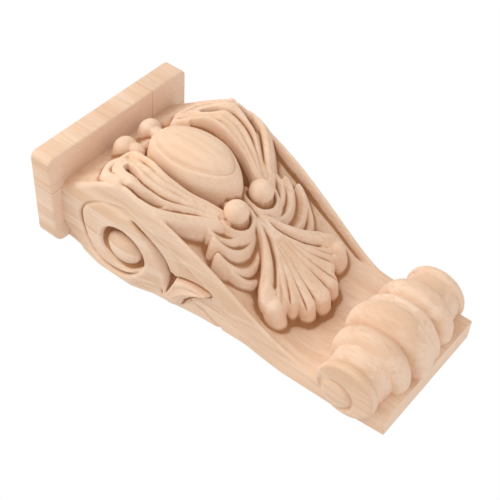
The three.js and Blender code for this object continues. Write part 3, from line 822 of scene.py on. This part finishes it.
def mark_hollows(mesh):
    """Stores how deep each point lies in a hollow, for the painted shade of cuts and corners; the
    material also makes points that stand out paler.
    """
    points = mesh_points(mesh)
    count = len(points)
    normals = np.empty(count * 3)
    mesh.vertex_normals.foreach_get("vector", normals)
    normals = normals.reshape(-1, 3)
    average = neighbours(mesh)
    wide = points
    hollow = np.zeros(count)
    for reach in range(1, HOLLOW_REACHES[-1] + 1):
        wide = 0.5 * wide + 0.5 * average(wide)
        if reach in HOLLOW_REACHES:
            hollow += np.einsum("ij,ij->i", wide - points, normals) / reach**0.35
    hollow = hollow[:, None]
    for _ in range(2):
        hollow = 0.5 * hollow + 0.5 * average(hollow)
    up = points[:, 2:]
    hollow = hollow * smooth(0.093, 0.083, up) * smooth(-0.066, -0.050, up)
    x, d, h = np.abs(points[:, 0]) * 1000, -points[:, 1] * 1000, points[:, 2] * 1000 + HEIGHT / 2
    # Extra painted shade on the sides: the scroll's channel, its pit and the eye's pocket get a
    # deeper hollow value, so they are painted darker.
    side = smooth(37, 38, x) * smooth(front_depth(h) - 3, front_depth(h) - 6, d)
    shade = groove(d + 1.2, h, CHANNEL, [(0, 1.4), (1, 2.2)], [(0, 0.3), (0.3, 0.9), (1, 1.1)])
    cuts = shade * smooth(48.4, 47.2, x)
    shade = groove(d, h, PIT, [(0, 2.2), (1, 0.8)], [(0, 1.0), (1, 0.4)])
    cuts = cuts + shade * smooth(45.4, 43.6, x)
    cuts = cuts + 0.9 * smooth(1.05, 0.97, oval(d, h, POCKET)) * smooth(47.9, 46.2, x)
    hollow = hollow + 0.0005 * (side * cuts)[:, None]
    layer = mesh.attributes.new("hollow", "FLOAT", "POINT")
    layer.data.foreach_set("value", hollow[:, 0])


# Finish


def node(tree, kind, **settings):
    """Adds a node and sets its options."""
    made = tree.nodes.new(kind)
    for key, value in settings.items():
        setattr(made, key, value)
    return made


def wood_material(look):
    """Bare sanded wood: fibres along the height, short pores, glued boards, end grain with dark
    specks whose pale colour is partly painted light, and painted shade in hollows and cuts.
    """
    material = bpy.data.materials.new("bare_wood")
    material.use_nodes = True
    tree = material.node_tree
    tree.nodes.clear()
    link = tree.links.new
    place = node(tree, "ShaderNodeTexCoord").outputs["Object"]
    shell = node(tree, "ShaderNodeNewGeometry")

    def feed(socket, value):
        if hasattr(value, "is_output"):
            link(value, socket)
        else:
            socket.default_value = value

    def mapping(scale):
        made = node(tree, "ShaderNodeMapping")
        made.inputs["Scale"].default_value = scale
        link(place, made.inputs["Vector"])
        return made.outputs["Vector"]

    def noise(vector, scale=1.0, detail=3.0, rough=0.55, twist=0.0):
        made = node(tree, "ShaderNodeTexNoise")
        made.inputs["Scale"].default_value = scale
        made.inputs["Detail"].default_value = detail
        made.inputs["Roughness"].default_value = rough
        made.inputs["Distortion"].default_value = twist
        link(vector, made.inputs["Vector"])
        return made.outputs["Fac"]

    def math_node(kind, a, b=None):
        made = node(tree, "ShaderNodeMath", operation=kind)
        for socket, value in zip(made.inputs, (a, b)):
            if value is not None:
                feed(socket, value)
        return made.outputs[0]

    def band(value, low, high, first=0.0, last=1.0):
        made = node(tree, "ShaderNodeMapRange", interpolation_type="SMOOTHSTEP")
        ends = {"From Min": low, "From Max": high, "To Min": first, "To Max": last}
        for name, size in ends.items():
            made.inputs[name].default_value = size
        link(value, made.inputs["Value"])
        return made.outputs["Result"]

    def mixed(factor, first, second):
        made = node(tree, "ShaderNodeMix", data_type="RGBA")
        sockets = [s for s in made.inputs if s.type == "RGBA"]
        for socket, value in zip(sockets, (first, second)):
            feed(socket, value)
        feed(made.inputs[0], factor)
        return [s for s in made.outputs if s.type == "RGBA"][0]

    axes = node(tree, "ShaderNodeSeparateXYZ")
    link(place, axes.inputs[0])
    facing = node(tree, "ShaderNodeSeparateXYZ")
    link(shell.outputs["Normal"], facing.inputs[0])

    right_board = math_node("GREATER_THAN", axes.outputs["X"], RIGHT_GLUE)
    front_board = math_node("LESS_THAN", axes.outputs["Y"], FRONT_GLUE)
    board = math_node("ADD", right_board, math_node("MULTIPLY", front_board, 2.0))

    shifted = node(tree, "ShaderNodeCombineXYZ")
    link(math_node("MULTIPLY", board, 0.31), shifted.inputs["X"])
    link(math_node("MULTIPLY", board, 0.17), shifted.inputs["Y"])
    lane = node(tree, "ShaderNodeVectorMath", operation="ADD")
    link(place, lane.inputs[0])
    link(shifted.outputs[0], lane.inputs[1])
    place = lane.outputs[0]

    growth = noise(mapping((70, 95, 4.5)), 1.0, 2.0, 0.5, 0.6)
    streak = noise(mapping((520, 520, 16)), 1.0, 3.0, 0.6)
    fibre = noise(mapping((2100, 2100, 60)), 1.0, 2.0, 0.6)
    cloud = noise(mapping((14, 14, 7)), 1.0, 2.0, 0.5)
    pores = noise(mapping((1500, 1500, 130)), 1.0, 1.0, 0.4)
    grit = noise(mapping((1900, 1900, 1900)), 1.0, 2.0, 0.6)

    colour = mixed(band(growth, 0.36, 0.64), tuple(look.light), tuple(look.mid))
    colour = mixed(band(streak, 0.42, 0.72, 0.0, 0.5), colour, tuple(look.streak))
    colour = mixed(band(cloud, 0.45, 0.75, 0.0, 0.4), colour, tuple(look.warm))
    colour = mixed(band(fibre, 0.5, 0.75, 0.0, 0.22), colour, tuple(look.streak))
    tone = node(tree, "ShaderNodeHueSaturation")
    link(math_node("ADD", math_node("MULTIPLY", right_board, -0.035), 1.0), tone.inputs["Value"])
    link(colour, tone.inputs["Color"])
    colour = tone.outputs[0]
    pore = band(pores, 0.68, 0.78)
    colour = mixed(math_node("MULTIPLY", pore, 0.2), colour, tuple(look.pore))

    # Faces that point up or down get the end-grain colour: partly the real tone of wood cut across
    # the grain, partly painted light that makes the shaded underside of the cap paler.
    end = band(math_node("ABSOLUTE", facing.outputs["Z"]), 0.5, 0.95)
    colour = mixed(math_node("MULTIPLY", end, 0.72), colour, tuple(look.end))
    speck = math_node("MULTIPLY", math_node("MULTIPLY", band(grit, 0.5, 0.68), end), 0.22)
    colour = mixed(speck, colour, tuple(look.pore))

    # Painted shade: points deep in hollows and cuts are mixed towards the dark cut colour.
    hollow = node(tree, "ShaderNodeAttribute", attribute_name="hollow").outputs["Fac"]
    colour = mixed(band(hollow, 0.00013, 0.00060, 0.0, 0.88), colour, tuple(look.cut))
    # Points that bulge out past their neighbours are mixed towards the palest wood colour.
    outward_pale = band(hollow, -0.00004, -0.00022, 0.0, 0.35)
    colour = mixed(outward_pale, colour, tuple(look.light))

    slab = band(axes.outputs["Z"], 0.0950, 0.0964)
    for axis, at in (("X", RIGHT_GLUE), ("Y", FRONT_GLUE)):
        away = math_node("ABSOLUTE", math_node("SUBTRACT", axes.outputs[axis], at))
        seam = math_node("MULTIPLY", band(away, 0.00010, 0.00030, 0.55, 0.0), slab)
        colour = mixed(seam, colour, tuple(look.cut))

    shader = node(tree, "ShaderNodeBsdfPrincipled")
    link(colour, shader.inputs["Base Color"])
    shader.inputs["Specular IOR Level"].default_value = 0.28
    rough = math_node("ADD", math_node("MULTIPLY", streak, 0.16), 0.62)
    link(math_node("ADD", rough, math_node("MULTIPLY", end, 0.12)), shader.inputs["Roughness"])

    marks = math_node("ADD", math_node("MULTIPLY", streak, 0.35), math_node("MULTIPLY", fibre, 0.3))
    marks = math_node("SUBTRACT", marks, math_node("MULTIPLY", pore, 0.3))
    marks = math_node("ADD", marks, math_node("MULTIPLY", math_node("MULTIPLY", grit, end), 0.6))
    bump = node(tree, "ShaderNodeBump")
    bump.inputs["Strength"].default_value = 0.4
    bump.inputs["Distance"].default_value = 0.00025
    link(marks, bump.inputs["Height"])
    link(bump.outputs["Normal"], shader.inputs["Normal"])
    link(shader.outputs[0], node(tree, "ShaderNodeOutputMaterial").inputs["Surface"])
    return material


# Settings

COLOUR = {"subtype": "COLOR", "size": 4, "min": 0, "max": 1}


class CorbelSizes(bpy.types.PropertyGroup):
    """Sizes of the carving."""

    egg_width: FloatProperty(
        name="Egg width", description="Widest part of the egg", default=0.0366, unit="LENGTH"
    )
    egg_length: FloatProperty(
        name="Egg length", description="Egg from tip to top", default=0.0600, unit="LENGTH"
    )
    egg_depth: FloatProperty(
        name="Egg depth", description="Front of the egg, from the wall",
        default=0.0710, unit="LENGTH",
    )
    hollow: FloatProperty(
        name="Hollow depth", description="Depth of the hollow between the rims",
        default=0.0075, unit="LENGTH",
    )
    side_band: FloatProperty(
        name="Side band", description="Width of the band behind each rim",
        default=0.0137, unit="LENGTH",
    )
    scroll_span: FloatProperty(
        name="Scroll span", description="From one scroll face to the other",
        default=0.0980, unit="LENGTH",
    )
    cap_width: FloatProperty(
        name="Cap width", description="Width of the top slab",
        default=cad_box[1][0] - cad_box[0][0], unit="LENGTH",
    )
    cap_depth: FloatProperty(
        name="Cap depth", description="Depth of the top slab", default=0.0596, unit="LENGTH"
    )
    roll_swell: FloatProperty(
        name="Roll swell", description="Factor on the radius of the roll",
        default=1.0, min=0.8, max=1.05,
    )
    detail: FloatProperty(
        name="Detail", description="Spacing of the carved grid",
        default=0.00045, unit="LENGTH", precision=5,
    )
    triangles: IntProperty(
        name="Triangles", description="Most triangles in the finished piece",
        default=190000, min=20000,
    )


class WoodLook(bpy.types.PropertyGroup):
    """Colours of the bare wood, and of the shade and light painted onto it."""

    light: FloatVectorProperty(
        name="Light wood", description="Palest grain", default=(0.84, 0.635, 0.495, 1), **COLOUR
    )
    mid: FloatVectorProperty(
        name="Main wood", description="Main colour of the grain",
        default=(0.745, 0.505, 0.355, 1), **COLOUR,
    )
    warm: FloatVectorProperty(
        name="Warm patch", description="Warmer clouds in the wood",
        default=(0.76, 0.50, 0.31, 1), **COLOUR,
    )
    streak: FloatVectorProperty(
        name="Streaks", description="Darker streaks along the grain",
        default=(0.62, 0.42, 0.27, 1), **COLOUR,
    )
    pore: FloatVectorProperty(
        name="Pores", description="Open pores", default=(0.40, 0.24, 0.14, 1), **COLOUR
    )
    # Partly the real colour of end grain and partly painted light: kept pale so that shaded faces
    # such as the cap's underside come out lighter.
    end: FloatVectorProperty(
        name="End grain", description="Wood cut across the grain",
        default=(0.87, 0.66, 0.53, 1), **COLOUR,
    )
    # Painted shade for the bottom of deep cuts and narrow hollows; the same colour also draws the
    # dark glue lines of the block.
    cut: FloatVectorProperty(
        name="Cuts", description="Bottom of deep cuts", default=(0.36, 0.15, 0.05, 1), **COLOUR
    )


class StageLook(bpy.types.PropertyGroup):
    """Floor, light and camera."""

    floor: FloatVectorProperty(
        name="Floor", description="Colour of the floor", default=(0.86, 0.85, 0.84, 1), **COLOUR
    )
    drop: FloatProperty(
        name="Floor drop", description="Floor below the middle of the corbel",
        default=0.75, unit="LENGTH",
    )
    key: FloatProperty(
        name="Key light", description="Strength of the main light", default=1.0, min=0
    )
    sky: FloatProperty(
        name="Soft light", description="Strength of the light all round", default=0.8, min=0
    )


# Tools


class CORBEL_OT_carve(bpy.types.Operator):
    """Carve the whole corbel from one block"""

    bl_idname = "corbel.carve"
    bl_label = "Carve corbel"

    def execute(self, context):
        sizes = context.scene.corbel_sizes
        plan = {
            "egg": {
                "width": sizes.egg_width * 1000,
                "length": sizes.egg_length * 1000,
                "depth": sizes.egg_depth * 1000,
            },
            "hollow": sizes.hollow * 1000,
            "band": sizes.side_band * 1000,
            "scroll": sizes.scroll_span * 1000,
            "cap_width": sizes.cap_width * 1000,
            "cap_depth": sizes.cap_depth * 1000,
            "roll": sizes.roll_swell,
            "step": sizes.detail * 1000,
        }
        piece = carve_body(plan)
        combine(piece, shape_balls(), "UNION")
        combine(piece, turn_roll(plan), "UNION")
        combine(piece, shape_cap(plan), "UNION")
        combine(piece, waste_block((-90, 0, -170), (90, 40, 170)), "DIFFERENCE")
        combine(piece, waste_block((-90, -90, -170), (90, 20, -HEIGHT / 2)), "DIFFERENCE")
        piece.data.transform(Matrix.Scale(0.001, 4))
        thin_out(piece, sizes.triangles)
        piece.name = PIECE
        piece.data.name = PIECE
        if len(piece.data.polygons) < 1000:
            raise RuntimeError("the carved block came out empty")
        piece.data.shade_smooth()
        piece.data.set_sharp_from_angle(angle=math.radians(48))
        mark_hollows(piece.data)
        piece.data.materials.clear()
        piece.data.materials.append(wood_material(context.scene.wood_look))
        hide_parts("corbel")
        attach(piece, "root")
        return {"FINISHED"}


class CORBEL_OT_stage(bpy.types.Operator):
    """Set up the floor, the lights and the camera"""

    bl_idname = "corbel.stage"
    bl_label = "Set stage"

    def execute(self, context):
        look = context.scene.stage_look
        bm = bmesh.new()
        bmesh.ops.create_grid(bm, x_segments=2, y_segments=2, size=6.0)
        bmesh.ops.translate(bm, vec=(0, 0, -look.drop), verts=bm.verts)
        floor = new_object("floor", bm)
        paint = bpy.data.materials.new("floor_paint")
        paint.use_nodes = True
        shader = paint.node_tree.nodes["Principled BSDF"]
        shader.inputs["Base Color"].default_value = tuple(look.floor)
        shader.inputs["Roughness"].default_value = 0.9
        floor.data.materials.append(paint)

        world = bpy.data.worlds.new("studio")
        world.use_nodes = True
        tree = world.node_tree
        sky = tree.nodes["Background"]
        sky.inputs["Color"].default_value = (1.0, 0.985, 0.96, 1)
        sky.inputs["Strength"].default_value = look.sky
        paper = node(tree, "ShaderNodeBackground")
        paper.inputs["Color"].default_value = (1, 1, 1, 1)
        choice = node(tree, "ShaderNodeMixShader")
        tree.links.new(node(tree, "ShaderNodeLightPath").outputs["Is Camera Ray"], choice.inputs[0])
        tree.links.new(sky.outputs[0], choice.inputs[1])
        tree.links.new(paper.outputs[0], choice.inputs[2])
        tree.links.new(choice.outputs[0], tree.nodes["World Output"].inputs["Surface"])
        context.scene.world = world
        context.scene.view_settings.view_transform = "Standard"

        for name, at, size, power in LAMPS:
            data = bpy.data.lights.new(name, "AREA")
            data.shape = "SQUARE"
            data.size = size
            data.energy = power * look.key
            data.color = (1.0, 0.97, 0.93)
            lamp = bpy.data.objects.new(name, data)
            lamp.location = at
            lamp.rotation_euler = (-Vector(at)).to_track_quat("-Z", "Y").to_euler()
            context.scene.collection.objects.link(lamp)

        turn = Vector(CAMERA_TURN)
        view = Matrix.Rotation(turn.length, 3, turn.normalized())
        at = (view.transposed() @ -Vector(CAMERA_SHIFT) - Vector((0, 0, HEIGHT / 2))) / 1000
        rows = [view[0], -view[1], -view[2]]
        pose = Matrix([[row[k] for row in rows] for k in range(3)]).to_4x4()
        pose.translation = at
        lens = bpy.data.cameras.new("camera")
        lens.sensor_width = SENSOR_WIDTH
        lens.lens = CAMERA_FOCUS / PICTURE_WIDTH * SENSOR_WIDTH
        lens.clip_start = 0.01
        camera = bpy.data.objects.new("camera", lens)
        camera.matrix_world = pose
        context.scene.collection.objects.link(camera)
        context.scene.camera = camera
        return {"FINISHED"}


class CORBEL_PT_panel(bpy.types.Panel):
    """Sizes, colours and tools of the corbel"""

    bl_idname = "CORBEL_PT_panel"
    bl_label = "Wood corbel"
    bl_space_type = "VIEW_3D"
    bl_region_type = "UI"
    bl_category = "Corbel"

    def draw(self, context):
        scene = context.scene
        groups = (
            (scene.corbel_sizes, "corbel.carve"),
            (scene.wood_look, None),
            (scene.stage_look, "corbel.stage"),
        )
        for group, tool in groups:
            box = self.layout.box()
            for name in group.__annotations__:
                box.prop(group, name)
            if tool:
                box.operator(tool)


CLASSES = (CorbelSizes, WoodLook, StageLook, CORBEL_OT_carve, CORBEL_OT_stage, CORBEL_PT_panel)


def register():
    for cls in CLASSES:
        bpy.utils.register_class(cls)
    bpy.types.Scene.corbel_sizes = PointerProperty(type=CorbelSizes)
    bpy.types.Scene.wood_look = PointerProperty(type=WoodLook)
    bpy.types.Scene.stage_look = PointerProperty(type=StageLook)


def unregister():
    del bpy.types.Scene.stage_look
    del bpy.types.Scene.wood_look
    del bpy.types.Scene.corbel_sizes
    for cls in reversed(CLASSES):
        bpy.utils.unregister_class(cls)


def main():
    register()
    bpy.ops.corbel.carve()
    bpy.ops.corbel.stage()


if __name__ == "__main__":
    main()
